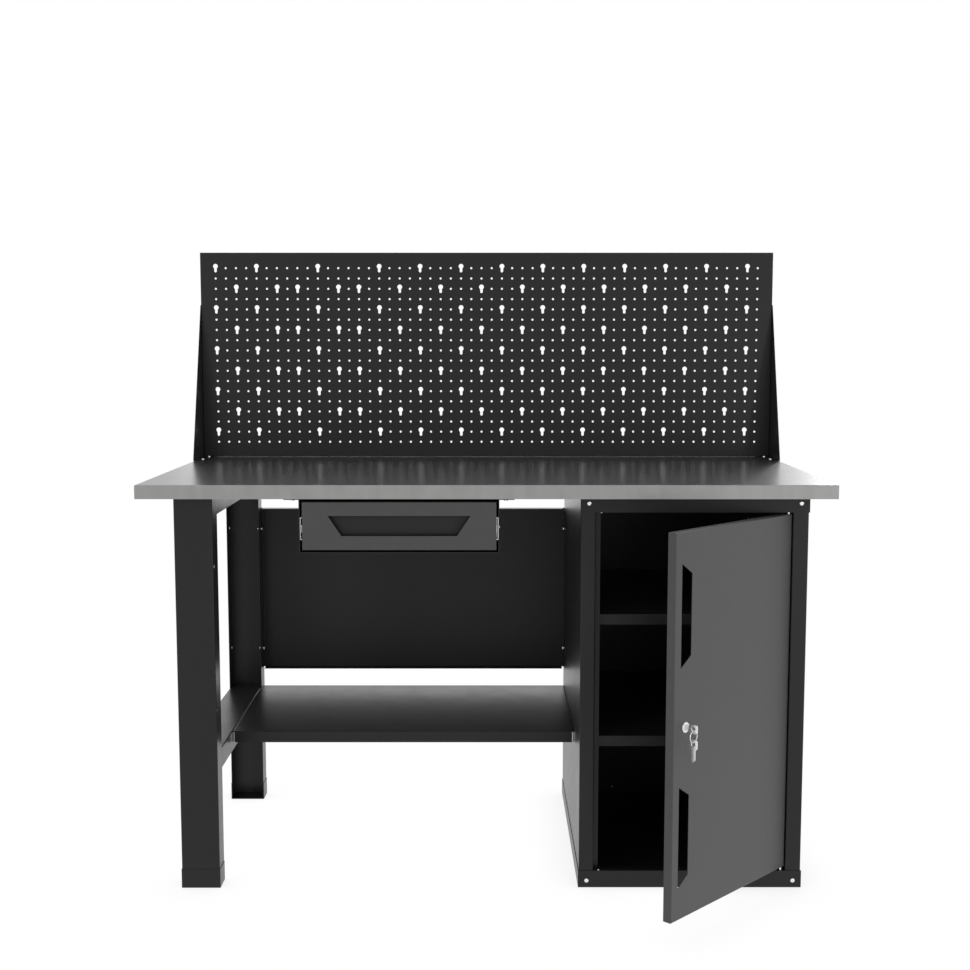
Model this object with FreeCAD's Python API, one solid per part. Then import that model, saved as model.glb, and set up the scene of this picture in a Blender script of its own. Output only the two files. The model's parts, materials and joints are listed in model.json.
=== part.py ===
import FreeCAD
import Part
import math
import os

# Steel workbench with a perforated tool screen, a hanging drawer and a door cabinet.
# Millimetres, +X to the right of a person at the bench, +Y away from them, +Z up.
# The origin is on the floor, in the middle of the bench with its door standing open.

# Sheet metal
FRAME_SHEET = 1.5
DOOR_SHEET = 1.2
PLATE_SHEET = 1.2
BEND_ROOM = 0.6
RUN_GAP = 0.3
CUT_OVERRUN = 5.0
CORNER_GAP = 4.5

# Worktop: a steel skin folded over a wood board
TOP_WIDTH = 1400.0
TOP_DEPTH = 700.0
TOP_THICKNESS = 28.0
TOP_HEIGHT = 850.0
BOARD_EDGE = 1.6

# Base: the leg frame and the cabinet share one front plane and one depth
FRONT_SETBACK = 50.0
BASE_DEPTH = 597.0

# Leg frame under the left end
LEG_OUTER_X = -635.0
LEG_WIDTH = 79.0
LEG_FLANGE = 46.0
CROSSBAR_HEIGHT = 43.0
CROSSBAR_END_GAP = 2.0
LOWER_CROSSBAR_TOP = 284.0
CAP_HEIGHT = 40.0
CAP_WALL = 1.0
CAP_FLOOR = 2.0
CAP_CORNER = 1.2
LEG_HOLE_RADIUS = 5.0
LEG_HOLE_FROM_WEB = 11.5

# Lower shelf, level with the lower crossbar
SHELF_DEPTH = 400.0
SHELF_FLANGE = 25.0
SHELF_SETBACK = 173.0
SHELF_NOTCH_ROOM = 1.0

# Modesty panel between the rear leg and the cabinet
PANEL_BOTTOM = 326.0
PANEL_HEIGHT = 400.0
PANEL_FLANGE = 24.5
PANEL_SHEET = 1.2

# Tool screen and its two gussets
SCREEN_TOP = 1350.0
SCREEN_DEPTH = 30.0
SCREEN_SHEET = 1.2
PEG_PITCH = 25.0
PEG_COLUMNS = 54
PEG_ROWS = 18
PEG_TOP_MARGIN = 37.5
PEG_RADIUS = 2.5
KEYHOLE_HEAD_RADIUS = 5.8
KEYHOLE_SLOT_RADIUS = 3.1
KEYHOLE_HEAD_RISE = 4.5
KEYHOLE_SLOT_DROP = 7.1
KEYHOLE_BAND = 4
KEYHOLE_COLUMNS = (0, 4, 10) + tuple(range(16, PEG_COLUMNS, KEYHOLE_BAND))
STAGGERED_COLUMNS = (2, 6, 8, 12, 14) + tuple(range(18, PEG_COLUMNS, KEYHOLE_BAND))
GUSSET_REACH = 120.0
GUSSET_RISE = 373.0
GUSSET_NOSE = 6.0
GUSSET_FOOT = 29.2
GUSSET_FOOT_CHAMFER = 10.0

# Cabinet on the right
CABINET_RIGHT_X = 655.6
CABINET_WIDTH = 465.2
RAIL_HEIGHT = 36.5
TOP_RAIL_HEIGHT = 33.1
RAIL_LIP = 20.0
STILE_WIDTH = 31.4
HINGE_STILE_WIDTH = 33.6
STILE_RETURN = 17.0
STOP_LIP = 11.0
SIDE_REAR_FLANGE = 15.0
BAY_SHELF_TOPS = (573.0, 315.0)
BAY_SHELF_FLANGE = 22.0
BAY_SHELF_SETBACK = 34.0

# Door, standing open on two pivot pins
DOOR_WIDTH = 394.0
DOOR_HEIGHT = 741.5
DOOR_DEPTH = 18.0
DOOR_BOTTOM_GAP = 7.5
DOOR_LIP = 12.0
DOOR_REST_ANGLE = 45.8
PIVOT_FROM_STILE = 9.1
PIVOT_FROM_EDGE = 5.7
PIVOT_FROM_FACE = 5.5
PIN_RADIUS = 2.0
PIN_COLLAR_RADIUS = 2.7
PIN_REACH = 12.0
SLOT_FROM_EDGE = 19.8
SLOT_WIDTH = 32.4
SLOT_LONG = 197.3
SLOT_SHORT = 155.1
SLOT_SPACING = 424.0

# Cam lock with its key, a ring and a spare key
LOCK_FROM_EDGE = 35.2
LOCK_RISE = 1.5
BEZEL_RADIUS = 10.3
BEZEL_HEIGHT = 3.2
BEZEL_ROUND = 1.4
BARREL_RADIUS = 9.0
BARREL_LENGTH = 22.0
NUT_ACROSS = 24.0
NUT_HEIGHT = 4.0
PLUG_RADIUS = 6.0
PLUG_RECESS = 0.8
KEYWAY_GAP = 0.5
CAM_LENGTH = 36.0
CAM_WIDTH = 14.0
CAM_THICKNESS = 2.0
CAM_SCREW_RADIUS = 4.0
CAM_SCREW_HEIGHT = 2.5
KEY_THICKNESS = 2.2
KEY_BOW = 17.0
KEY_BOW_LENGTH = 19.5
KEY_BOW_CORNER = 4.0
KEY_BOW_HOLE_RADIUS = 4.6
KEY_BLADE_WIDTH = 8.0
KEY_BLADE_LENGTH = 24.0
KEY_SHOULDER_GAP = 6.0
KEY_CUTS = 4
KEY_CUT_START = 5.0
KEY_CUT_DEPTH = 1.6
KEY_CUT_SHARE = 0.4
RING_RADIUS = 11.0
RING_WIRE_RADIUS = 0.8
RING_HANG_GAP = 0.35

# Drawer in a casing hung under the worktop
CASING_CENTRE_X = -174.5
CASING_WIDTH = 400.0
CASING_HEIGHT = 109.0
CASING_DEPTH = 500.0
CASING_FLANGE = 30.0
CASING_SETBACK = 3.0
CASING_SHEET = 1.8
DRAWER_FRONT_WIDTH = 388.6
DRAWER_FRONT_HEIGHT = 96.9
DRAWER_FRONT_DEPTH = 18.0
DRAWER_FRONT_TOP_GAP = 6.5
DRAWER_FRONT_INSET = 1.0
DRAWER_FRONT_LIP = 20.0
PULL_TOP_WIDTH = 285.0
PULL_BOTTOM_WIDTH = 231.0
PULL_HEIGHT = 40.7
PULL_TOP_GAP = 27.5
BOX_DEPTH = 440.0
BOX_HEIGHT = 78.0
BOX_LIFT = 6.0
BOX_SHEET = 1.0
SLIDE_LENGTH = 450.0
SLIDE_HEIGHT = 45.0
SLIDE_THICKNESS = 12.7
SLIDE_SHEET = 1.2
SLIDE_INSET = 5.0
SLIDE_STEP = 14.0
SLIDE_TONGUE = 15.0
SLIDE_NOTCH_ROOM = 1.0
SLIDE_LIFT = 47.0
OUTER_RAIL_FLANGE = 9.5
MIDDLE_RAIL_OFFSET = 3.0
MIDDLE_RAIL_FLANGE = 6.0
INNER_RAIL_FLANGE = 7.7

# Fasteners: head radius, head height, shank radius and shank length of each kind
SCREW_HEAD_RADIUS = 4.6
SCREW_HEAD_HEIGHT = 2.6
SCREW_SHANK_RADIUS = 2.2
SCREW_SHANK_LENGTH = 12.0
BOLT_HEAD_RADIUS = 5.6
BOLT_HEAD_HEIGHT = 3.4
BOLT_SHANK_RADIUS = 2.8
BOLT_SHANK_LENGTH = 10.0
BOLT_NUT_ACROSS = 10.0
BOLT_NUT_HEIGHT = 5.0
RIVET_HEAD_RADIUS = 3.2
RIVET_HEAD_HEIGHT = 1.5
RIVET_SHANK_RADIUS = 1.6
HEAD_ROUND_SHARE = 0.6
CORNER_SCREW_INSET = 17.8
CORNER_SCREW_RISE = 16.0
CORNER_SCREW_DROP = 14.2
GUSSET_SCREW_OUT = 15.0
GUSSET_SCREW_PLACES = (30.0, 104.0)
SCREEN_SCREW_HEIGHTS = (40.0, 240.0)
CASING_SCREW_INSETS = (11.0, 460.0)
PANEL_BOLT_INSET = 50.0
PANEL_BOLT_FROM_REAR = 13.0
SHELF_BOLT_INSET = 60.0
SHELF_BOLT_DROP = 14.0
CROSSBAR_SCREW_INSET = 120.0
CABINET_SCREW_INSET = 70.0
BACK_RIVET_HEIGHTS = (120.0, 410.0, 700.0)
BACK_RIVET_SPREAD = 214.0
SLIDE_RIVET_INSETS = (26.0, 224.0, 416.0)
DRAWER_SCREW_INSET = 60.0
DRAWER_SCREW_RISE = 9.0
STOP_RIVET_OUT = 12.0
SHELF_RIVET_INSET = 70.0

# Places worked out from the sizes above
FOLD_RADIUS = FRAME_SHEET + BEND_ROOM
UNDERSIDE = TOP_HEIGHT - TOP_THICKNESS
DOOR_REST = math.radians(DOOR_REST_ANGLE)
DOOR_LEVER = DOOR_WIDTH - PIVOT_FROM_EDGE
DOOR_REACH = DOOR_LEVER * math.sin(DOOR_REST) + PIVOT_FROM_FACE * math.cos(DOOR_REST)
OVERALL_DEPTH = TOP_DEPTH + DOOR_REACH - PIVOT_FROM_FACE - FRONT_SETBACK
TOP_REAR = OVERALL_DEPTH / 2
TOP_FRONT = TOP_REAR - TOP_DEPTH
BASE_FRONT = TOP_FRONT + FRONT_SETBACK
BASE_REAR = BASE_FRONT + BASE_DEPTH
LEG_INNER_X = LEG_OUTER_X + LEG_WIDTH
CABINET_LEFT_X = CABINET_RIGHT_X - CABINET_WIDTH
WALL_LEFT_X = CABINET_LEFT_X + FRAME_SHEET
WALL_RIGHT_X = CABINET_RIGHT_X - FRAME_SHEET
WALL_FRONT = BASE_FRONT + FRAME_SHEET
WALL_REAR = BASE_REAR - FRAME_SHEET
OPENING_LEFT_X = CABINET_LEFT_X + STILE_WIDTH
OPENING_RIGHT_X = CABINET_RIGHT_X - HINGE_STILE_WIDTH
TOP_RAIL_BOTTOM = UNDERSIDE - TOP_RAIL_HEIGHT
DOOR_BOTTOM = RAIL_HEIGHT + DOOR_BOTTOM_GAP
DOOR_TOP = DOOR_BOTTOM + DOOR_HEIGHT
LOCK_HEIGHT = (DOOR_BOTTOM + DOOR_TOP) / 2 + LOCK_RISE
PIVOT_X = OPENING_RIGHT_X - PIVOT_FROM_STILE
PIVOT_Y = BASE_FRONT + PIVOT_FROM_FACE
SCREEN_FRONT = TOP_REAR - SCREEN_DEPTH
SCREEN_BOTTOM = TOP_HEIGHT + PLATE_SHEET
SCREEN_HALF = TOP_WIDTH / 2
GUSSET_OUTER = SCREEN_HALF + PLATE_SHEET
CASING_FRONT = TOP_FRONT + CASING_SETBACK
CASING_LEFT = CASING_CENTRE_X - CASING_WIDTH / 2 + CASING_SHEET
CASING_RIGHT = CASING_CENTRE_X + CASING_WIDTH / 2 - CASING_SHEET
CASING_FLOOR = UNDERSIDE - CASING_HEIGHT + CASING_SHEET
DRAWER_FACE = CASING_FRONT + DRAWER_FRONT_INSET
BOX_FRONT = DRAWER_FACE + DRAWER_FRONT_DEPTH
BOX_BOTTOM = CASING_FLOOR + BOX_LIFT
DRAWER_FRONT_TOP = UNDERSIDE - DRAWER_FRONT_TOP_GAP
SLIDE_FRONT = CASING_FRONT + SLIDE_INSET
SLIDE_MIDDLE_Z = CASING_FLOOR + SLIDE_LIFT
FACE_Y = -PIVOT_FROM_FACE
LOCK_X = LOCK_FROM_EDGE - DOOR_LEVER
SHOULDER_Y = FACE_Y - BEZEL_HEIGHT - KEY_SHOULDER_GAP
KEY_HOLE_Y = SHOULDER_Y - KEY_BOW_LENGTH + KEY_BOW / 2
KEY_RIM = KEY_BOW / 2 - KEY_BOW_HOLE_RADIUS
RIM_DROP = KEY_BOW_HOLE_RADIUS + KEY_RIM / 2
RING_CLEAR = math.hypot(KEY_THICKNESS / 2, KEY_RIM / 2) + RING_HANG_GAP
RING_INNER = RING_RADIUS - RING_WIRE_RADIUS
RING_PIVOT_Z = LOCK_HEIGHT - RIM_DROP
RING_CENTRE_Z = RING_PIVOT_Z - RING_INNER + RING_CLEAR
SPARE_PIVOT_Z = RING_CENTRE_Z - RING_INNER + RING_CLEAR
SPARE_HOLE_Z = SPARE_PIVOT_Z - RIM_DROP

X_AXIS = FreeCAD.Vector(1, 0, 0)
Y_AXIS = FreeCAD.Vector(0, 1, 0)
Z_AXIS = FreeCAD.Vector(0, 0, 1)
QUARTER_TURN = 90.0


def point(x, y, z):
    return FreeCAD.Vector(x, y, z)


def block(x, y, z):
    """Box between the low and high end of each of its three spans."""
    low = point(x[0], y[0], z[0])
    return Part.makeBox(x[1] - x[0], y[1] - y[0], z[1] - z[0], low)


def rod(start, axis, radius, length):
    return Part.makeCylinder(radius, length, start, axis)


def fused(first, *others):
    return first.fuse(list(others)).removeSplitter()


def corner_edges(before, corner, after, radius):
    """Tangent points and middle point of the arc that rounds one corner of an outline."""
    back = (before - corner).normalize()
    ahead = (after - corner).normalize()
    half = back.getAngle(ahead) / 2
    middle_way = (back + ahead).normalize()
    start = corner + back * (radius / math.tan(half))
    end = corner + ahead * (radius / math.tan(half))
    middle = corner + middle_way * (radius / math.sin(half) - radius)
    return start, middle, end


def outline(points, radii):
    """Closed wire through the points, each corner rounded by its own radius."""
    edges = []
    count = len(points)
    ends = []
    for index, corner in enumerate(points):
        if radii[index] > 0:
            before = points[index - 1]
            after = points[(index + 1) % count]
            start, middle, end = corner_edges(before, corner, after, radii[index])
            ends.append((start, end))
            edges.append(Part.Arc(start, middle, end).toShape())
        else:
            ends.append((corner, corner))
    for index in range(count):
        leave = ends[index][1]
        arrive = ends[(index + 1) % count][0]
        edges.append(Part.LineSegment(leave, arrive).toShape())
    return Part.Wire(Part.__sortEdges__(edges))


def prism(points, run, radii=None):
    """Solid with the given outline, drawn out along run."""
    wire = outline(points, radii or [0] * len(points))
    return Part.Face(wire).extrude(run)


def folded(path, sheet, fold, run):
    """Sheet folded along a path of corners and drawn out along run; it lies left of the path."""
    axis = FreeCAD.Vector(run).normalize()
    sides = [(after - before).normalize() for before, after in zip(path, path[1:])]
    lefts = [axis.cross(side) for side in sides]
    last = len(path) - 1
    far_side = []
    near_radii = []
    far_radii = []
    for index, corner in enumerate(path):
        before = lefts[max(index - 1, 0)]
        after = lefts[min(index, last - 1)]
        both = before + after
        far_side.append(corner + both * (2 * sheet / both.dot(both)))
        turn = before.cross(after).dot(axis)
        outer = fold if abs(turn) > 0 else 0
        inner = fold - sheet if abs(turn) > 0 else 0
        near_radii.append(outer if turn > 0 else inner)
        far_radii.append(inner if turn > 0 else outer)
    points = path + far_side[::-1]
    return prism(points, run, near_radii + far_radii[::-1])


def rounded_block(x, y, z, radius, open_axis, open_side):
    """Box with the four edges of its closed side rounded."""
    solid = block(x, y, z)
    spans = (x, y, z)
    closed_at = spans[open_axis][0 if open_side > 0 else 1]

    def on_closed_side(edge):
        places = [vertex.Point[open_axis] for vertex in edge.Vertexes]
        return all(abs(place - closed_at) < radius / 2 for place in places)

    return solid.makeFillet(radius, [edge for edge in solid.Edges if on_closed_side(edge)])


def tray(x, y, z, sheet, fold, open_axis, open_side):
    """Sheet folded up on its four sides, open along one axis towards one side."""
    outer = rounded_block(x, y, z, fold, open_axis, open_side)
    spans = []
    for axis, (low, high) in enumerate((x, y, z)):
        inner_low = low + sheet
        inner_high = high - sheet
        if axis == open_axis and open_side > 0:
            inner_high = high + fold
        if axis == open_axis and open_side < 0:
            inner_low = low - fold
        spans.append((inner_low, inner_high))
    inner = rounded_block(*spans, fold - sheet, open_axis, open_side)
    return outer.cut(inner)


def ends(span):
    """Two short spans, one round each end of a span."""
    return [(end - CORNER_GAP, end + CORNER_GAP) for end in span]


def corner_gaps(x_spans, y_spans, z_spans):
    """Blocks that open the corners of a tray, where its folded sides meet."""
    return [block(x, y, z) for x in x_spans for y in y_spans for z in z_spans]


def hexagon(start, axis, across, height):
    """Six-sided block that stands on start along axis."""
    turn = FreeCAD.Rotation(Z_AXIS, axis)
    reach = across / math.sqrt(3)
    sides = 6
    points = []
    for index in range(sides):
        angle = 2 * math.pi * index / sides
        corner = point(reach * math.cos(angle), reach * math.sin(angle), 0)
        points.append(start + turn.multVec(corner))
    return prism(points, axis * height)


def fastener(seat, out, head_radius, head_height, shank_radius, shank_length):
    """Round-headed fastener: the head lies on the seat, the shank goes the other way."""
    head = rod(seat, out, head_radius, head_height)
    crown = seat + out * head_height

    def is_crown(edge):
        return (edge.CenterOfMass - crown).Length < head_height / 2 and edge.Closed

    rim = [edge for edge in head.Edges if is_crown(edge)]
    head = head.makeFillet(head_height * HEAD_ROUND_SHARE, rim)
    return head.fuse(rod(seat, -out, shank_radius, shank_length)).removeSplitter()


def screw(seat, out):
    return fastener(seat, out, SCREW_HEAD_RADIUS, SCREW_HEAD_HEIGHT, SCREW_SHANK_RADIUS, SCREW_SHANK_LENGTH)


def bolt(seat, out, grip):
    """Bolt with its nut, tightened on the sheets between them."""
    body = fastener(seat, out, BOLT_HEAD_RADIUS, BOLT_HEAD_HEIGHT, BOLT_SHANK_RADIUS, BOLT_SHANK_LENGTH)
    return fused(body, hexagon(seat - out * grip, -out, BOLT_NUT_ACROSS, BOLT_NUT_HEIGHT))


def rivet(seat, out, length):
    return fastener(seat, out, RIVET_HEAD_RADIUS, RIVET_HEAD_HEIGHT, RIVET_SHANK_RADIUS, length)


def drilled(shape, seats, shank_radius, shank_length):
    """The shape with a clearance hole for each fastener; a seat is a point and the way out."""
    holes = []
    for seat, out in seats:
        start = seat + out * CUT_OVERRUN
        holes.append(rod(start, -out, shank_radius + RUN_GAP, shank_length + CUT_OVERRUN + RUN_GAP))
    return shape.cut(holes)


def for_screws(shape, seats):
    return drilled(shape, seats, SCREW_SHANK_RADIUS, SCREW_SHANK_LENGTH)


def for_bolts(shape, seats):
    return drilled(shape, seats, BOLT_SHANK_RADIUS, BOLT_SHANK_LENGTH)


def group(solids):
    return Part.makeCompound(solids)


# Places of the fasteners, each a seat and the way that its head stands out

def corner_screw_seats():
    seats = []
    for x in (CABINET_LEFT_X + CORNER_SCREW_INSET, CABINET_RIGHT_X - CORNER_SCREW_INSET):
        for z in (CORNER_SCREW_RISE, UNDERSIDE - CORNER_SCREW_DROP):
            seats.append((point(x, BASE_FRONT, z), -Y_AXIS))
    return seats


def gusset_screw_seats():
    seats = []
    for side in (-1, 1):
        x = side * (SCREEN_HALF - GUSSET_SCREW_OUT)
        for place in GUSSET_SCREW_PLACES:
            y = SCREEN_FRONT - GUSSET_REACH + place
            seats.append((point(x, y, TOP_HEIGHT + PLATE_SHEET), Z_AXIS))
    return seats


def screen_screw_seats():
    seats = []
    for side in (-1, 1):
        for height in SCREEN_SCREW_HEIGHTS:
            seat = point(side * GUSSET_OUTER, TOP_REAR - SCREEN_DEPTH / 2, TOP_HEIGHT + height)
            seats.append((seat, X_AXIS * side))
    return seats


def casing_screw_seats():
    seats = []
    low = UNDERSIDE - CASING_SHEET
    for x in (CASING_LEFT - CASING_FLANGE / 2, CASING_RIGHT + CASING_FLANGE / 2):
        for inset in CASING_SCREW_INSETS:
            seats.append((point(x, CASING_FRONT + inset, low), -Z_AXIS))
    return seats


def frame_screw_seats():
    """Screws that hold the worktop down on the leg frame and the cabinet."""
    seats = []
    leg_x = LEG_OUTER_X + LEG_WIDTH / 2
    for y in (BASE_FRONT + CROSSBAR_SCREW_INSET, BASE_REAR - CROSSBAR_SCREW_INSET):
        seats.append((point(leg_x, y, UNDERSIDE - FRAME_SHEET), -Z_AXIS))
    for x in (CABINET_LEFT_X + CABINET_SCREW_INSET, CABINET_RIGHT_X - CABINET_SCREW_INSET):
        for y in (BASE_FRONT + CABINET_SCREW_INSET, BASE_REAR - CABINET_SCREW_INSET):
            seats.append((point(x, y, UNDERSIDE - FRAME_SHEET), -Z_AXIS))
    return seats


def panel_bolt_heights():
    return (PANEL_BOTTOM + PANEL_BOLT_INSET, PANEL_BOTTOM + PANEL_HEIGHT - PANEL_BOLT_INSET)


def panel_bolt_seats():
    """Bolts through the modesty panel's end flanges into the rear leg and the cabinet wall."""
    y = BASE_REAR - PANEL_BOLT_FROM_REAR
    seats = []
    for z in panel_bolt_heights():
        seats.append((point(LEG_INNER_X + PANEL_SHEET, y, z), X_AXIS))
        seats.append((point(WALL_LEFT_X - PANEL_SHEET, y, z), -X_AXIS))
    return seats


def shelf_bolt_seats():
    """Bolts through the lower shelf's end flanges into the crossbar and the cabinet wall."""
    front = BASE_FRONT + SHELF_SETBACK
    z = LOWER_CROSSBAR_TOP - SHELF_BOLT_DROP
    seats = []
    for y in (front + SHELF_BOLT_INSET, front + SHELF_DEPTH - SHELF_BOLT_INSET):
        seats.append((point(LEG_INNER_X, y, z), X_AXIS))
        seats.append((point(WALL_LEFT_X - FRAME_SHEET, y, z), -X_AXIS))
    return seats


def back_rivet_seats():
    """Rivets through the rear flanges of the cabinet's sides into its back."""
    seats = []
    for x in (WALL_LEFT_X + SIDE_REAR_FLANGE / 2, WALL_RIGHT_X - SIDE_REAR_FLANGE / 2):
        for z in BACK_RIVET_HEIGHTS:
            seats.append((point(x, WALL_REAR, z), Y_AXIS))
    return seats


def tray_rivet_seats():
    """Rivets through the rear flanges of the cabinet's two trays into its back."""
    middle = (CABINET_LEFT_X + CABINET_RIGHT_X) / 2
    seats = []
    for x in (middle - BACK_RIVET_SPREAD / 2, middle + BACK_RIVET_SPREAD / 2):
        for z in (RAIL_HEIGHT / 2, UNDERSIDE - TOP_RAIL_HEIGHT / 2):
            seats.append((point(x, BASE_REAR, z), Y_AXIS))
    return seats


def slide_rivet_seats():
    seats = []
    for inset in SLIDE_RIVET_INSETS:
        y = SLIDE_FRONT + inset
        seats.append((point(CASING_LEFT - CASING_SHEET, y, SLIDE_MIDDLE_Z), -X_AXIS))
        seats.append((point(CASING_RIGHT + CASING_SHEET, y, SLIDE_MIDDLE_Z), X_AXIS))
    return seats


def drawer_screw_seats():
    """Screws from inside the drawer box into the lips of its front."""
    seats = []
    low = BOX_BOTTOM + DRAWER_SCREW_RISE
    for x in (CASING_LEFT + DRAWER_SCREW_INSET, CASING_RIGHT - DRAWER_SCREW_INSET):
        seats.append((point(x, BOX_FRONT + BOX_SHEET, low), Y_AXIS))
    return seats


def bay_shelf_rivet_seats(top):
    z = top - BAY_SHELF_FLANGE / 2
    front = BASE_FRONT + BAY_SHELF_SETBACK
    seats = []
    for y in (front + SHELF_RIVET_INSET, WALL_REAR - SHELF_RIVET_INSET):
        seats.append((point(WALL_LEFT_X + 2 * FRAME_SHEET, y, z), X_AXIS))
        seats.append((point(WALL_RIGHT_X - 2 * FRAME_SHEET, y, z), -X_AXIS))
    return seats


# Worktop

def worktop_sheet():
    half = TOP_WIDTH / 2
    y = (TOP_FRONT, TOP_REAR)
    skin = tray((-half, half), y, (UNDERSIDE, TOP_HEIGHT), FRAME_SHEET, FOLD_RADIUS, 2, -1)
    return for_screws(skin, gusset_screw_seats())


def worktop_board():
    inset = FRAME_SHEET + RUN_GAP
    half = TOP_WIDTH / 2 - inset
    top = TOP_HEIGHT - FRAME_SHEET
    board = block((-half, half), (TOP_FRONT + inset, TOP_REAR - inset), (UNDERSIDE, top))
    rim = [edge for edge in board.Edges if all(abs(v.Z - top) < RUN_GAP for v in edge.Vertexes)]
    board = board.makeChamfer(BOARD_EDGE, rim)
    return for_screws(board, gusset_screw_seats() + casing_screw_seats() + frame_screw_seats())


# Leg frame

def front_leg():
    rear = BASE_FRONT + LEG_FLANGE
    path = [
        point(LEG_OUTER_X, rear, CAP_FLOOR),
        point(LEG_OUTER_X, BASE_FRONT, CAP_FLOOR),
        point(LEG_INNER_X, BASE_FRONT, CAP_FLOOR),
        point(LEG_INNER_X, rear, CAP_FLOOR),
    ]
    leg = folded(path, FRAME_SHEET, FOLD_RADIUS, Z_AXIS * (UNDERSIDE - CAP_FLOOR))
    return leg.cut(leg_holes(BASE_FRONT + LEG_HOLE_FROM_WEB, LEG_WIDTH))


def leg_holes(y, reach):
    """Cutters for the plain holes in a leg's flanges, from its outer side inwards."""
    start_x = LEG_OUTER_X - CUT_OVERRUN
    length = reach + 2 * CUT_OVERRUN
    return [rod(point(start_x, y, z), X_AXIS, LEG_HOLE_RADIUS, length) for z in panel_bolt_heights()]


def rear_leg():
    front = BASE_REAR - LEG_FLANGE
    path = [
        point(LEG_INNER_X, front, CAP_FLOOR),
        point(LEG_INNER_X, BASE_REAR, CAP_FLOOR),
        point(LEG_OUTER_X, BASE_REAR, CAP_FLOOR),
        point(LEG_OUTER_X, front, CAP_FLOOR),
    ]
    leg = folded(path, FRAME_SHEET, FOLD_RADIUS, Z_AXIS * (UNDERSIDE - CAP_FLOOR))
    leg = leg.cut(leg_holes(BASE_REAR - LEG_HOLE_FROM_WEB, FRAME_SHEET))
    return for_bolts(leg, panel_bolt_seats())


def crossbar(top):
    """Inverted channel that fits between the flanges of the two legs."""
    left = LEG_OUTER_X + FRAME_SHEET
    right = LEG_INNER_X - FRAME_SHEET
    front = BASE_FRONT + FRAME_SHEET + CROSSBAR_END_GAP
    bottom = top - CROSSBAR_HEIGHT
    path = [
        point(left, front, bottom),
        point(left, front, top),
        point(right, front, top),
        point(right, front, bottom),
    ]
    length = BASE_DEPTH - 2 * (FRAME_SHEET + CROSSBAR_END_GAP)
    return folded(path, FRAME_SHEET, FOLD_RADIUS, Y_AXIS * length)


def top_crossbar():
    return for_screws(crossbar(UNDERSIDE), frame_screw_seats())


def lower_crossbar():
    return for_bolts(crossbar(LOWER_CROSSBAR_TOP), shelf_bolt_seats())


def foot_cap(front, rear, open_front):
    """Cup round the foot of a leg, open where the leg is open."""
    x = (LEG_OUTER_X, LEG_INNER_X)
    y = (front, rear)
    outer_x = (x[0] - CAP_WALL, x[1] + CAP_WALL)
    outer_y = (y[0] - CAP_WALL, y[1] + CAP_WALL)
    shell = block(outer_x, outer_y, (0, CAP_HEIGHT))
    upright = [edge for edge in shell.Edges if abs(edge.tangentAt(edge.FirstParameter).z) > 0]
    shell = shell.makeFillet(CAP_CORNER, upright)
    shell = shell.cut(block(x, y, (CAP_FLOOR, CAP_HEIGHT + CUT_OVERRUN)))
    mouth_y = (outer_y[0] - CUT_OVERRUN, y[0]) if open_front else (y[1], outer_y[1] + CUT_OVERRUN)
    return shell.cut(block(x, mouth_y, (CAP_FLOOR, CAP_HEIGHT + CUT_OVERRUN)))


def front_foot_cap():
    return foot_cap(BASE_FRONT, BASE_FRONT + LEG_FLANGE, False)


def rear_foot_cap():
    return foot_cap(BASE_REAR - LEG_FLANGE, BASE_REAR, True)


# Lower shelf and modesty panel

def lower_shelf():
    left = LEG_INNER_X - FRAME_SHEET
    front = BASE_FRONT + SHELF_SETBACK
    rear = front + SHELF_DEPTH
    bottom = LOWER_CROSSBAR_TOP - SHELF_FLANGE
    x = (left, WALL_LEFT_X)
    shelf = tray(x, (front, rear), (bottom, LOWER_CROSSBAR_TOP), FRAME_SHEET, FOLD_RADIUS, 2, -1)
    flange_z = (bottom - CUT_OVERRUN, LOWER_CROSSBAR_TOP - FOLD_RADIUS)
    shelf = shelf.cut(corner_gaps(ends(x), ends((front, rear)), [flange_z]))
    notch_x = (left - CUT_OVERRUN, LEG_INNER_X + SHELF_NOTCH_ROOM)
    notch_y = (BASE_REAR - LEG_FLANGE - SHELF_NOTCH_ROOM, rear + CUT_OVERRUN)
    notch_z = (bottom - CUT_OVERRUN, LOWER_CROSSBAR_TOP + CUT_OVERRUN)
    return for_bolts(shelf.cut(block(notch_x, notch_y, notch_z)), shelf_bolt_seats())


def modesty_panel():
    """Rear panel of the knee space, its four sides folded forwards."""
    x = (LEG_INNER_X, WALL_LEFT_X)
    front = BASE_REAR - PANEL_FLANGE
    z = (PANEL_BOTTOM, PANEL_BOTTOM + PANEL_HEIGHT)
    fold = PANEL_SHEET + BEND_ROOM
    panel = tray(x, (front, BASE_REAR), z, PANEL_SHEET, fold, 1, -1)
    flange_y = (front - CUT_OVERRUN, BASE_REAR - fold)
    panel = panel.cut(corner_gaps(ends(x), [flange_y], ends(z)))
    return for_bolts(panel, panel_bolt_seats())


# Tool screen

def is_keyhole(column, row):
    """Keyholes stand in every second row, two staggered patterns by turns."""
    if row % KEYHOLE_BAND == 0:
        return column in KEYHOLE_COLUMNS
    if row % KEYHOLE_BAND == KEYHOLE_BAND / 2:
        return column in STAGGERED_COLUMNS
    return False


def peg_hole(x, y, z):
    circle = Part.Circle(point(x, y, z), Y_AXIS, PEG_RADIUS)
    return Part.Wire(circle.toShape())


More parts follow.
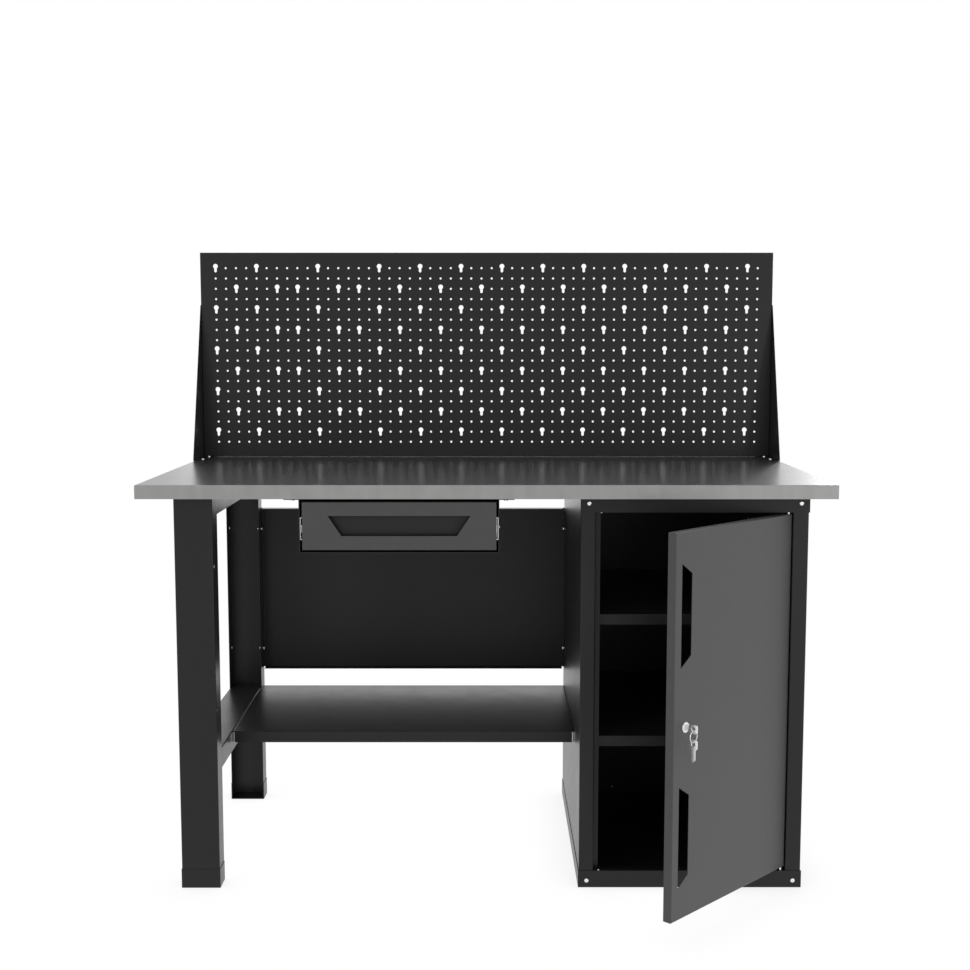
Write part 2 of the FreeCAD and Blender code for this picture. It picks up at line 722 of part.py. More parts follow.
def keyhole(x, y, z):
    """Round entry above a narrow slot with a round foot."""
    entry_z = z + KEYHOLE_HEAD_RISE
    slot_z = z - KEYHOLE_SLOT_DROP
    neck = math.sqrt(KEYHOLE_HEAD_RADIUS ** 2 - KEYHOLE_SLOT_RADIUS ** 2)
    left_neck = point(x - KEYHOLE_SLOT_RADIUS, y, entry_z - neck)
    right_neck = point(x + KEYHOLE_SLOT_RADIUS, y, entry_z - neck)
    left_foot = point(x - KEYHOLE_SLOT_RADIUS, y, slot_z)
    right_foot = point(x + KEYHOLE_SLOT_RADIUS, y, slot_z)
    crown = point(x, y, entry_z + KEYHOLE_HEAD_RADIUS)
    foot = point(x, y, slot_z - KEYHOLE_SLOT_RADIUS)
    edges = [
        Part.Arc(left_neck, crown, right_neck).toShape(),
        Part.LineSegment(right_neck, right_foot).toShape(),
        Part.Arc(right_foot, foot, left_foot).toShape(),
        Part.LineSegment(left_foot, left_neck).toShape(),
    ]
    return Part.Wire(edges)


def perforated_plate(x, z):
    """Flat middle of the screen with its grid of peg holes and keyholes."""
    corners = [
        point(x[0], SCREEN_FRONT, z[0]),
        point(x[1], SCREEN_FRONT, z[0]),
        point(x[1], SCREEN_FRONT, z[1]),
        point(x[0], SCREEN_FRONT, z[1]),
    ]
    wires = [outline(corners, [0] * len(corners))]
    first_x = -PEG_PITCH * (PEG_COLUMNS - 1) / 2
    first_z = SCREEN_TOP - PEG_TOP_MARGIN
    for row in range(PEG_ROWS):
        for column in range(PEG_COLUMNS):
            shape = keyhole if is_keyhole(column, row) else peg_hole
            wires.append(shape(first_x + column * PEG_PITCH, SCREEN_FRONT, first_z - row * PEG_PITCH))
    face = Part.Face(wires, "Part::FaceMakerBullseye")
    return face.extrude(Y_AXIS * SCREEN_SHEET)


def tool_screen():
    y = (SCREEN_FRONT, TOP_REAR)
    z = (SCREEN_BOTTOM, SCREEN_TOP)
    pan = tray((-SCREEN_HALF, SCREEN_HALF), y, z, SCREEN_SHEET, SCREEN_SHEET + BEND_ROOM, 1, 1)
    pan = for_screws(pan, screen_screw_seats())
    margin = PEG_PITCH / 2
    plate_x = (margin - SCREEN_HALF, SCREEN_HALF - margin)
    plate_z = (SCREEN_BOTTOM + margin, SCREEN_TOP - margin)
    window = block(plate_x, (SCREEN_FRONT - CUT_OVERRUN, SCREEN_FRONT + CUT_OVERRUN), plate_z)
    return fused(pan.cut(window), perforated_plate(plate_x, plate_z))


def screen_gusset(side):
    """Side plate that holds the screen: a brace in front, a foot turned in over the worktop."""
    outer = side * GUSSET_OUTER
    toe = SCREEN_FRONT - GUSSET_REACH
    crest = TOP_HEIGHT + GUSSET_RISE
    profile = [
        point(outer, TOP_REAR, TOP_HEIGHT),
        point(outer, toe, TOP_HEIGHT),
        point(outer, toe, TOP_HEIGHT + GUSSET_NOSE),
        point(outer, SCREEN_FRONT, crest),
        point(outer, TOP_REAR, crest),
    ]
    plate = prism(profile, X_AXIS * (-side * PLATE_SHEET))
    tip = outer - side * GUSSET_FOOT
    sole = [
        point(outer, TOP_REAR, TOP_HEIGHT),
        point(outer, toe, TOP_HEIGHT),
        point(tip + side * GUSSET_FOOT_CHAMFER, toe, TOP_HEIGHT),
        point(tip, toe + GUSSET_FOOT_CHAMFER, TOP_HEIGHT),
        point(tip, TOP_REAR, TOP_HEIGHT),
    ]
    foot = prism(sole, Z_AXIS * PLATE_SHEET)
    bracket = fused(plate, foot)
    return for_screws(bracket, gusset_screw_seats() + screen_screw_seats())


def screen_gusset_left():
    return screen_gusset(-1)


def screen_gusset_right():
    return screen_gusset(1)


# Cabinet

def wall_run():
    """Height of the cabinet walls, short of the folds of the two trays that close them."""
    return UNDERSIDE - 2 * (FRAME_SHEET + BEND_ROOM)


def cabinet_left_side():
    low = FRAME_SHEET + BEND_ROOM
    stop = WALL_FRONT + STILE_RETURN
    path = [
        point(WALL_LEFT_X + SIDE_REAR_FLANGE, WALL_REAR, low),
        point(WALL_LEFT_X, WALL_REAR, low),
        point(WALL_LEFT_X, WALL_FRONT, low),
        point(OPENING_LEFT_X, WALL_FRONT, low),
        point(OPENING_LEFT_X, stop, low),
        point(OPENING_LEFT_X + STOP_LIP, stop, low),
    ]
    wall = folded(path, FRAME_SHEET, FOLD_RADIUS, Z_AXIS * wall_run())
    lip_room = (OPENING_LEFT_X, OPENING_LEFT_X + STOP_LIP + CUT_OVERRUN)
    lip_y = (WALL_FRONT, stop + FRAME_SHEET + RUN_GAP)
    wall = wall.cut(block(lip_room, lip_y, (0, RAIL_HEIGHT)))
    wall = wall.cut(block(lip_room, lip_y, (TOP_RAIL_BOTTOM, UNDERSIDE)))
    wall = for_bolts(wall, panel_bolt_seats() + shelf_bolt_seats())
    return for_wall_fasteners(wall)


def cabinet_right_side():
    low = FRAME_SHEET + BEND_ROOM
    path = [
        point(OPENING_RIGHT_X, WALL_FRONT + STILE_RETURN, low),
        point(OPENING_RIGHT_X, WALL_FRONT, low),
        point(WALL_RIGHT_X, WALL_FRONT, low),
        point(WALL_RIGHT_X, WALL_REAR, low),
        point(WALL_RIGHT_X - SIDE_REAR_FLANGE, WALL_REAR, low),
    ]
    wall = folded(path, FRAME_SHEET, FOLD_RADIUS, Z_AXIS * wall_run())
    return for_wall_fasteners(wall)


def for_wall_fasteners(shape):
    shape = for_screws(shape, corner_screw_seats())
    shape = drilled(shape, back_rivet_seats(), RIVET_SHANK_RADIUS, 2 * FRAME_SHEET)
    for top in BAY_SHELF_TOPS:
        shape = drilled(shape, bay_shelf_rivet_seats(top), RIVET_SHANK_RADIUS, 2 * FRAME_SHEET)
    return shape


def cabinet_back():
    x = (WALL_LEFT_X + FRAME_SHEET + BEND_ROOM, WALL_RIGHT_X - FRAME_SHEET - BEND_ROOM)
    y = (WALL_REAR - 2 * FRAME_SHEET, WALL_REAR - FRAME_SHEET)
    low = FRAME_SHEET + BEND_ROOM
    sheet = block(x, y, (low, low + wall_run()))
    sheet = drilled(sheet, back_rivet_seats(), RIVET_SHANK_RADIUS, 2 * FRAME_SHEET)
    return drilled(sheet, tray_rivet_seats(), RIVET_SHANK_RADIUS, 3 * FRAME_SHEET)


def rail_lip(z):
    """Return of a front rail, between the two stiles, that holds the pivot pin."""
    x = (OPENING_LEFT_X + RUN_GAP, OPENING_RIGHT_X - RUN_GAP)
    return block(x, (BASE_FRONT + FRAME_SHEET, BASE_FRONT + RAIL_LIP), z)


def pivot_bore(z):
    start = point(PIVOT_X, PIVOT_Y, z - CUT_OVERRUN)
    return rod(start, Z_AXIS, PIN_RADIUS + RUN_GAP, 2 * CUT_OVERRUN)


def cabinet_tray(z, open_side, lip_z):
    x = (CABINET_LEFT_X, CABINET_RIGHT_X)
    shell = tray(x, (BASE_FRONT, BASE_REAR), z, FRAME_SHEET, FOLD_RADIUS, 2, open_side)
    shell = fused(shell, rail_lip(lip_z)).cut(pivot_bore(lip_z[0]))
    shell = for_screws(shell, corner_screw_seats())
    seats = stop_rivet_seats() + tray_rivet_seats()
    return drilled(shell, seats, RIVET_SHANK_RADIUS, FRAME_SHEET)


def cabinet_top():
    lip_z = (TOP_RAIL_BOTTOM, TOP_RAIL_BOTTOM + FRAME_SHEET)
    lid = cabinet_tray((TOP_RAIL_BOTTOM, UNDERSIDE), -1, lip_z)
    return for_screws(lid, frame_screw_seats())


def cabinet_base():
    return cabinet_tray((0, RAIL_HEIGHT), 1, (RAIL_HEIGHT - FRAME_SHEET, RAIL_HEIGHT))


def bay_shelf(top):
    x = (WALL_LEFT_X + FRAME_SHEET, WALL_RIGHT_X - FRAME_SHEET)
    y = (BASE_FRONT + BAY_SHELF_SETBACK, WALL_REAR - 2 * FRAME_SHEET)
    shelf = tray(x, y, (top - BAY_SHELF_FLANGE, top), FRAME_SHEET, FOLD_RADIUS, 2, -1)
    return drilled(shelf, bay_shelf_rivet_seats(top), RIVET_SHANK_RADIUS, 2 * FRAME_SHEET)


def cabinet_shelf_upper():
    return bay_shelf(BAY_SHELF_TOPS[0])


def cabinet_shelf_lower():
    return bay_shelf(BAY_SHELF_TOPS[1])


def stop_rivet_seats():
    """Rivets in the rails at the lock side of the opening."""
    x = OPENING_LEFT_X + STOP_RIVET_OUT
    low = (point(x, PIVOT_Y, RAIL_HEIGHT), Z_AXIS)
    high = (point(x, PIVOT_Y, TOP_RAIL_BOTTOM), -Z_AXIS)
    return [low, high]


def hinge_pin(seat_z, way, gap):
    """Pin from a rail into the door, with a collar that fills the gap between them."""
    seat = point(PIVOT_X, PIVOT_Y, seat_z)
    collar = rod(seat, way, PIN_COLLAR_RADIUS, gap - RUN_GAP)
    shank = rod(seat - way * PIN_REACH, way, PIN_RADIUS, gap + 2 * PIN_REACH)
    return fused(collar, shank)


def hinge_pin_lower():
    return hinge_pin(RAIL_HEIGHT, Z_AXIS, DOOR_BOTTOM_GAP)


def hinge_pin_upper():
    return hinge_pin(TOP_RAIL_BOTTOM, -Z_AXIS, TOP_RAIL_BOTTOM - DOOR_TOP)


# Door and lock, drawn shut with the pivot at zero in plan, then swung to their rest angle

def swung(shape):
    shape.rotate(point(0, 0, 0), Z_AXIS, DOOR_REST_ANGLE)
    shape.translate(point(PIVOT_X, PIVOT_Y, 0))
    return shape


def door_slot(middle):
    """See-through pull with its long side towards the free edge."""
    near = SLOT_FROM_EDGE - DOOR_LEVER
    far = near + SLOT_WIDTH
    front = FACE_Y - CUT_OVERRUN
    points = [
        point(near, front, middle - SLOT_LONG / 2),
        point(far, front, middle - SLOT_SHORT / 2),
        point(far, front, middle + SLOT_SHORT / 2),
        point(near, front, middle + SLOT_LONG / 2),
    ]
    return prism(points, Y_AXIS * 2 * CUT_OVERRUN)


def door_panel():
    x = (-DOOR_LEVER, PIVOT_FROM_EDGE)
    back = FACE_Y + DOOR_DEPTH
    z = (DOOR_BOTTOM, DOOR_TOP)
    fold = DOOR_SHEET + BEND_ROOM
    pan = tray(x, (FACE_Y, back), z, DOOR_SHEET, fold, 1, 1)
    rim_y = (back - DOOR_SHEET, back)
    rim_x = (x[0] + DOOR_SHEET, x[1] - DOOR_SHEET)
    rim_z = (z[0] + DOOR_SHEET, z[1] - DOOR_SHEET)
    window_x = (rim_x[0] + DOOR_LIP, rim_x[1] - DOOR_LIP)
    window_z = (rim_z[0] + DOOR_LIP, rim_z[1] - DOOR_LIP)
    window = block(window_x, (rim_y[0] - CUT_OVERRUN, back + CUT_OVERRUN), window_z)
    pan = fused(pan, block(rim_x, rim_y, rim_z).cut(window))
    foot = point(0, 0, DOOR_BOTTOM - CUT_OVERRUN)
    pin_hole = rod(foot, Z_AXIS, PIN_RADIUS + RUN_GAP, DOOR_HEIGHT + 2 * CUT_OVERRUN)
    start = point(LOCK_X, FACE_Y - CUT_OVERRUN, LOCK_HEIGHT)
    lock_hole = rod(start, Y_AXIS, BARREL_RADIUS + RUN_GAP, 2 * CUT_OVERRUN)
    slots = [door_slot(LOCK_HEIGHT + side * SLOT_SPACING / 2) for side in (-1, 1)]
    return swung(pan.cut([pin_hole, lock_hole] + slots))


def lock_body():
    """Round bezel on the door's face and the barrel behind it, bored for the plug."""
    front = point(LOCK_X, FACE_Y, LOCK_HEIGHT)
    bezel = rod(front, -Y_AXIS, BEZEL_RADIUS, BEZEL_HEIGHT)
    rim = [edge for edge in bezel.Edges if edge.Closed and edge.CenterOfMass.y < FACE_Y - BEZEL_HEIGHT / 2]
    bezel = bezel.makeFillet(BEZEL_ROUND, rim)
    body = fused(bezel, rod(front, Y_AXIS, BARREL_RADIUS, BARREL_LENGTH))
    start = front - Y_AXIS * (BEZEL_HEIGHT + CUT_OVERRUN)
    bore = rod(start, Y_AXIS, PLUG_RADIUS + RUN_GAP, BARREL_LENGTH + BEZEL_HEIGHT + 2 * CUT_OVERRUN)
    return swung(body.cut(bore))


def lock_nut():
    seat = point(LOCK_X, FACE_Y + DOOR_SHEET, LOCK_HEIGHT)
    nut = hexagon(seat, Y_AXIS, NUT_ACROSS, NUT_HEIGHT)
    start = seat - Y_AXIS * CUT_OVERRUN
    return swung(nut.cut(rod(start, Y_AXIS, BARREL_RADIUS + RUN_GAP, NUT_HEIGHT + 2 * CUT_OVERRUN)))


def lock_plug():
    """Turning core of the lock, with the keyway in its face."""
    front = FACE_Y - BEZEL_HEIGHT + PLUG_RECESS
    length = FACE_Y + BARREL_LENGTH + RUN_GAP - front
    plug = rod(point(LOCK_X, front, LOCK_HEIGHT), Y_AXIS, PLUG_RADIUS, length)
    half_width = KEY_THICKNESS / 2 + KEYWAY_GAP
    half_height = KEY_BLADE_WIDTH / 2 + KEYWAY_GAP
    slot = block(
        (LOCK_X - half_width, LOCK_X + half_width),
        (front - CUT_OVERRUN, SHOULDER_Y + KEY_BLADE_LENGTH + KEYWAY_GAP),
        (LOCK_HEIGHT - half_height, LOCK_HEIGHT + half_height),
    )
    return swung(plug.cut(slot))


def lock_cam():
    """Latch arm, hanging down while the lock is open."""
    front = FACE_Y + BARREL_LENGTH + RUN_GAP
    half = CAM_WIDTH / 2
    points = [
        point(LOCK_X - half, front, LOCK_HEIGHT + half),
        point(LOCK_X - half, front, LOCK_HEIGHT - CAM_LENGTH),
        point(LOCK_X + half, front, LOCK_HEIGHT - CAM_LENGTH),
        point(LOCK_X + half, front, LOCK_HEIGHT + half),
    ]
    radii = [half / 2, half / 2, half / 2, half / 2]
    return swung(prism(points, Y_AXIS * CAM_THICKNESS, radii))


def cam_screw():
    seat = point(LOCK_X, FACE_Y + BARREL_LENGTH + RUN_GAP + CAM_THICKNESS, LOCK_HEIGHT)
    return swung(rod(seat, Y_AXIS, CAM_SCREW_RADIUS, CAM_SCREW_HEIGHT))


def key_blade(x, shoulder):
    """Pointed blade below the shoulder, with a row of cuts along one edge."""
    edge = KEY_BLADE_WIDTH / 2
    root = shoulder + KEY_BOW_CORNER / 2
    tip = shoulder - KEY_BLADE_LENGTH
    pitch = (KEY_BLADE_LENGTH - KEY_CUT_START - edge) / KEY_CUTS
    base = tip + edge
    points = [point(x, -edge, root), point(x, -edge, base), point(x, 0, tip), point(x, edge, base)]
    for index in range(KEY_CUTS):
        middle = base + pitch * (2 * index + 1) / 2
        points.append(point(x, edge, middle - pitch * KEY_CUT_SHARE))
        points.append(point(x, edge - KEY_CUT_DEPTH, middle))
        points.append(point(x, edge, middle + pitch * KEY_CUT_SHARE))
    points.append(point(x, edge, root))
    return prism(points, X_AXIS * KEY_THICKNESS)


def key():
    """Flat key in its own frame: the ring hole at zero, the blade pointing down."""
    half = KEY_BOW / 2
    shoulder = half - KEY_BOW_LENGTH
    x = -KEY_THICKNESS / 2
    points = [
        point(x, -half, shoulder),
        point(x, half, shoulder),
        point(x, half, half),
        point(x, -half, half),
    ]
    bow = prism(points, X_AXIS * KEY_THICKNESS, [KEY_BOW_CORNER] * len(points))
    start = point(x - CUT_OVERRUN, 0, 0)
    hole = rod(start, X_AXIS, KEY_BOW_HOLE_RADIUS, KEY_THICKNESS + 2 * CUT_OVERRUN)
    return fused(bow, key_blade(x, shoulder)).cut(hole)


def lock_key():
    """Key standing in the lock, its blade upright in the keyway."""
    shape = key()
    shape.rotate(point(0, 0, 0), X_AXIS, QUARTER_TURN)
    shape.translate(point(LOCK_X, KEY_HOLE_Y, LOCK_HEIGHT))
    return swung(shape)


def key_ring():
    centre = point(LOCK_X, KEY_HOLE_Y, RING_CENTRE_Z)
    return swung(Part.makeTorus(RING_RADIUS, RING_WIRE_RADIUS, centre, Y_AXIS))


def spare_key():
    """Second key, hanging blade down from the ring."""
    shape = key()
    shape.translate(point(LOCK_X, KEY_HOLE_Y, SPARE_HOLE_Z))
    return swung(shape)


# Drawer

def drawer_casing():
    """Trough hung by two flanges from the worktop, closed at its rear."""
    path = [
        point(CASING_LEFT - CASING_SHEET - CASING_FLANGE, CASING_FRONT, UNDERSIDE),
        point(CASING_LEFT, CASING_FRONT, UNDERSIDE),
        point(CASING_LEFT, CASING_FRONT, CASING_FLOOR),
        point(CASING_RIGHT, CASING_FRONT, CASING_FLOOR),
        point(CASING_RIGHT, CASING_FRONT, UNDERSIDE),
        point(CASING_RIGHT + CASING_SHEET + CASING_FLANGE, CASING_FRONT, UNDERSIDE),
    ]
    trough = folded(path, CASING_SHEET, CASING_SHEET + BEND_ROOM, Y_AXIS * CASING_DEPTH)
    rear = CASING_FRONT + CASING_DEPTH
    wall_x = (CASING_LEFT - CASING_SHEET / 2, CASING_RIGHT + CASING_SHEET / 2)
    wall_z = (CASING_FLOOR - CASING_SHEET / 2, UNDERSIDE - CASING_SHEET)
    wall = block(wall_x, (rear - CASING_SHEET, rear), wall_z)
    casing = for_screws(fused(trough, wall), casing_screw_seats())
    return for_slide_rivets(casing)


def for_slide_rivets(shape):
    return drilled(shape, slide_rivet_seats(), RIVET_SHANK_RADIUS, CASING_SHEET + SLIDE_SHEET)


def from_wall(side, across):
    """Place a given way inwards from the casing's wall."""
    wall = CASING_LEFT if side < 0 else CASING_RIGHT
    return wall - side * across


def slide_rail(side, near, depth, half, opens_in, setback):
    """One channel of a slide: a web and two flanges, drawn from the casing wall inwards."""

    def at(across, height):
        return point(from_wall(side, across), SLIDE_FRONT + setback, SLIDE_MIDDLE_Z + height)

    web, tip = (near, near + depth) if opens_in else (near + depth, near)
    path = [at(tip, half), at(web, half), at(web, -half), at(tip, -half)]
    upward = (path[1] - path[0]).cross(path[2] - path[1]).y > 0
    path = path if upward else path[::-1]
    run = Y_AXIS * (SLIDE_LENGTH - setback)
    return folded(path, SLIDE_SHEET, SLIDE_SHEET + BEND_ROOM, run)


def slide_outer(side):
    return for_slide_rivets(slide_rail(side, 0, OUTER_RAIL_FLANGE, SLIDE_HEIGHT / 2, True, 0))


def slide_middle(side):
    """Middle rail, with a tongue that stands forward as its front stop."""
    half = SLIDE_HEIGHT / 2 - SLIDE_SHEET - RUN_GAP
    rail = slide_rail(side, MIDDLE_RAIL_OFFSET, MIDDLE_RAIL_FLANGE, half, True, SLIDE_STEP)
    edges = (from_wall(side, MIDDLE_RAIL_OFFSET), from_wall(side, MIDDLE_RAIL_OFFSET + 2 * SLIDE_SHEET))
    low = SLIDE_MIDDLE_Z - SLIDE_TONGUE / 2
    tongue_y = (SLIDE_FRONT, SLIDE_FRONT + SLIDE_STEP)
    return fused(rail, block(sorted(edges), tongue_y, (low, low + SLIDE_TONGUE)))


def slide_inner(side):
    half = SLIDE_HEIGHT / 2 - 2 * (SLIDE_SHEET + RUN_GAP)
    near = SLIDE_THICKNESS - INNER_RAIL_FLANGE
    return slide_rail(side, near, INNER_RAIL_FLANGE, half, False, SLIDE_STEP)


def drawer_box():
    x = (CASING_LEFT + SLIDE_THICKNESS, CASING_RIGHT - SLIDE_THICKNESS)
    y = (BOX_FRONT, BOX_FRONT + BOX_DEPTH)
    z = (BOX_BOTTOM, BOX_BOTTOM + BOX_HEIGHT)
    box = tray(x, y, z, BOX_SHEET, BOX_SHEET + BEND_ROOM, 2, 1)
    return for_screws(box, drawer_screw_seats())


def drawer_front():
    """Grey front with a slanted-sided pull, notched at its ends for the slides."""
    left = CASING_CENTRE_X - DRAWER_FRONT_WIDTH / 2
    right = left + DRAWER_FRONT_WIDTH
    bottom = DRAWER_FRONT_TOP - DRAWER_FRONT_HEIGHT
    fold = DOOR_SHEET + BEND_ROOM
    pan = tray((left, right), (DRAWER_FACE, BOX_FRONT), (bottom, DRAWER_FRONT_TOP), DOOR_SHEET, fold, 1, 1)
    lip_x = (left + fold, right - fold)
    lip_y = (BOX_FRONT - DOOR_SHEET, BOX_FRONT)
    low = block(lip_x, lip_y, (bottom + DOOR_SHEET, bottom + DRAWER_FRONT_LIP))
    high = block(lip_x, lip_y, (DRAWER_FRONT_TOP - DRAWER_FRONT_LIP, DRAWER_FRONT_TOP - DOOR_SHEET))
    pan = fused(pan, low, high)
    pull_top = DRAWER_FRONT_TOP - PULL_TOP_GAP
    front = DRAWER_FACE - CUT_OVERRUN
    pull = [
        point(CASING_CENTRE_X - PULL_BOTTOM_WIDTH / 2, front, pull_top - PULL_HEIGHT),
        point(CASING_CENTRE_X + PULL_BOTTOM_WIDTH / 2, front, pull_top - PULL_HEIGHT),
        point(CASING_CENTRE_X + PULL_TOP_WIDTH / 2, front, pull_top),
        point(CASING_CENTRE_X - PULL_TOP_WIDTH / 2, front, pull_top),
    ]
    cuts = [prism(pull, Y_AXIS * 2 * CUT_OVERRUN)]
    half = SLIDE_HEIGHT / 2 + SLIDE_NOTCH_ROOM
    notch_y = (DRAWER_FACE + fold, BOX_FRONT + CUT_OVERRUN)
    notch_z = (SLIDE_MIDDLE_Z - half, SLIDE_MIDDLE_Z + half)
    for x in (left, right):
        cuts.append(block((x - 2 * DOOR_SHEET, x + 2 * DOOR_SHEET), notch_y, notch_z))
    return for_screws(pan.cut(cuts), drawer_screw_seats())


# Fastener groups

def screws(seats):
    return group([screw(seat, out) for seat, out in seats])


def bolts(seats, grip):
    return group([bolt(seat, out, grip) for seat, out in seats])


def back_rivets():
    sides = [rivet(seat, out, 2 * FRAME_SHEET) for seat, out in back_rivet_seats()]
    trays = [rivet(seat, out, 3 * FRAME_SHEET) for seat, out in tray_rivet_seats()]
    return group(sides + trays)


def shelf_rivets():
    seats = [seat for top in BAY_SHELF_TOPS for seat in bay_shelf_rivet_seats(top)]
    return group([rivet(seat, out, 2 * FRAME_SHEET) for seat, out in seats])


def slide_rivets():
    return group([rivet(seat, out, CASING_SHEET + SLIDE_SHEET) for seat, out in slide_rivet_seats()])


def stop_rivets():
    return group([rivet(seat, out, FRAME_SHEET) for seat, out in stop_rivet_seats()])


PIECES = {
    "worktop_sheet": worktop_sheet,
    "worktop_board": worktop_board,
    "front_leg": front_leg,
    "rear_leg": rear_leg,
    "top_crossbar": top_crossbar,
    "lower_crossbar": lower_crossbar,
    "front_foot_cap": front_foot_cap,
    "rear_foot_cap": rear_foot_cap,
    "lower_shelf": lower_shelf,
    "modesty_panel": modesty_panel,
    "tool_screen": tool_screen,
    "screen_gusset_left": screen_gusset_left,
    "screen_gusset_right": screen_gusset_right,
    "cabinet_left_side": cabinet_left_side,
    "cabinet_right_side": cabinet_right_side,
    "cabinet_back": cabinet_back,
    "cabinet_top": cabinet_top,
    "cabinet_base": cabinet_base,
    "cabinet_shelf_upper": cabinet_shelf_upper,
    "cabinet_shelf_lower": cabinet_shelf_lower,
    "hinge_pin_lower": hinge_pin_lower,
    "hinge_pin_upper": hinge_pin_upper,
    "door_panel": door_panel,
    "lock_body": lock_body,
    "lock_nut": lock_nut,
    "lock_plug": lock_plug,
    "lock_cam": lock_cam,
    "cam_screw": cam_screw,
    "lock_key": lock_key,
    "key_ring": key_ring,
    "spare_key": spare_key,
    "drawer_casing": drawer_casing,
    "drawer_box": drawer_box,
    "drawer_front": drawer_front,
    "slide_outer_left": lambda: slide_outer(-1),
    "slide_outer_right": lambda: slide_outer(1),
    "slide_middle_left": lambda: slide_middle(-1),
    "slide_middle_right": lambda: slide_middle(1),
    "slide_inner_left": lambda: slide_inner(-1),
    "slide_inner_right": lambda: slide_inner(1),
    "corner_screws": lambda: screws(corner_screw_seats()),
    "gusset_screws": lambda: screws(gusset_screw_seats()),
    "screen_screws": lambda: screws(screen_screw_seats()),
    "casing_screws": lambda: screws(casing_screw_seats()),
    "worktop_screws": lambda: screws(frame_screw_seats()),
    "back_rivets": back_rivets,
    "slide_rivets": slide_rivets,
    "drawer_screws": lambda: screws(drawer_screw_seats()),
    "panel_bolts": lambda: bolts(panel_bolt_seats(), PANEL_SHEET + FRAME_SHEET),
    "shelf_bolts": lambda: bolts(shelf_bolt_seats(), 2 * FRAME_SHEET),
    "shelf_rivets": shelf_rivets,
    "stop_rivets": stop_rivets,
}


def main():
    os.makedirs("parts", exist_ok=True)
    for name, build in PIECES.items():
        build().exportStep(os.path.join("parts", name + ".step"))


main()
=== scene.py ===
import json
import math

import bpy
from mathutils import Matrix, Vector


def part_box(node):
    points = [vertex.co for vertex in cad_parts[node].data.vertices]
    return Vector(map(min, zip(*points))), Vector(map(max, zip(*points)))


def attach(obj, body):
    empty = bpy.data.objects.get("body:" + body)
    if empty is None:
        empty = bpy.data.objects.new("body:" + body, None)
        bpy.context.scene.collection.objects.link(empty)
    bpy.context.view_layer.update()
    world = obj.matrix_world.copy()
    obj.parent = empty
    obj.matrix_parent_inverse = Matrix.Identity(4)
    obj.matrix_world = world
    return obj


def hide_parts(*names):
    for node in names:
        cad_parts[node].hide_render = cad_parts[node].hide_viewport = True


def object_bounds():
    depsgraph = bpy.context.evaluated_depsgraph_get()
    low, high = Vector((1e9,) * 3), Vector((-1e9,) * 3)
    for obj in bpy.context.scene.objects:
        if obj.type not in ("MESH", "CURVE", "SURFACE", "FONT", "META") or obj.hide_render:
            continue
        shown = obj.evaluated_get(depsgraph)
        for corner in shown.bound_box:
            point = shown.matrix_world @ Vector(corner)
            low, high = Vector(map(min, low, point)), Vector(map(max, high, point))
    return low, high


# Looks of a steel workbench with a tool screen, a drawer and a door cabinet.
# Metres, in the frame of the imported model: +X right, +Y to the rear, +Z up.

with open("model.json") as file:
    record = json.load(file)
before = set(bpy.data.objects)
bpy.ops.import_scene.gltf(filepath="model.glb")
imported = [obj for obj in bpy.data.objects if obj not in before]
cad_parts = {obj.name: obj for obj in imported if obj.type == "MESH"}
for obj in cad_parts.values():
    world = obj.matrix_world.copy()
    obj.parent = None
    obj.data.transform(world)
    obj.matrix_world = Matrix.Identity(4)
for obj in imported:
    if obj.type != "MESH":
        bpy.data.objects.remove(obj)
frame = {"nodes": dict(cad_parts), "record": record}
cad_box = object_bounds()
nodes = frame["nodes"]
record = frame["record"]

# Camera: lens and sensor in millimetres, pitch in degrees below level
LENS = 50.0
SENSOR = 36.0
IMAGE_SIDE = 970
AXIS_RIGHT_PIXELS = 1.6
CAMERA_HEIGHT = 1.1307
CAMERA_FROM_WORKTOP = 2.659
CAMERA_PITCH = 6.018

# Room: its level rises from the ground up, and again towards the right rear
WHITE = (1.0, 1.0, 1.0, 1.0)
HEIGHT_LIMITS = (-0.3, 0.1)
HEIGHT_LEVELS = (0.44, 0.51)
BRIGHT_WAY = (0.7, 0.714, 0.0)
BRIGHT_LIMITS = (0.25, 0.95)
BRIGHT_GAIN = 0.44

# Soft boxes: place, width and height, power
SOFT_BOXES = {
    "right_box": ((3.2, -4.5, 0.5), (0.6, 2.6), 35.0),
    "left_box": ((-3.1, -4.5, 1.9), (0.6, 2.6), 12.0),
    "rear_box": ((-0.13, 4.2, 0.9), (2.96, 2.4), 10.6),
    "corner_box": ((2.35, 4.0, 2.1), (1.1, 1.3), 64.0),
}

# Floor, a hair under the feet, with a faint painted shadow where they come near: its white glow is dimmed
# by nearness, not shaded by the lamps
FLOOR_SIDE = 14.0
FLOOR_HEIGHT = -0.0005
SHADOW_REACH = 0.12
PAINTED_SHADOW_LEVEL = 0.8
SHADOW_SAMPLES = 8

# Patterns of the finishes: cells per metre along each axis, and detail
PATTERN_LIMITS = (0.3, 0.7)
COAT_CLOUD = ((6.0, 6.0, 6.0), 3.0)
COAT_PEEL = ((700.0, 700.0, 700.0), 2.0)
STEEL_STREAK = ((1.5, 160.0, 40.0), 4.0)
STEEL_CLOUD = ((9.0, 3.0, 3.0), 1.0)
ZINC_GRAIN = ((300.0, 300.0, 300.0), 3.0)
BOARD_FIBRE = ((60.0, 20.0, 400.0), 5.0)
BOARD_CHIP_CELLS = (180.0, 90.0, 260.0)

# Shares of a finish's colour, and steps from its roughness, that a pattern runs between
COAT_TINTS = (0.97, 1.03)
COAT_ROUGHNESS_STEPS = (-0.02, 0.02)
STEEL_TINTS = (0.955, 1.045)
STEEL_ROUGHNESS_STEPS = (-0.004, 0.004)
ZINC_TINTS = (0.9, 1.05)
ZINC_ROUGHNESS_STEPS = (-0.05, 0.08)

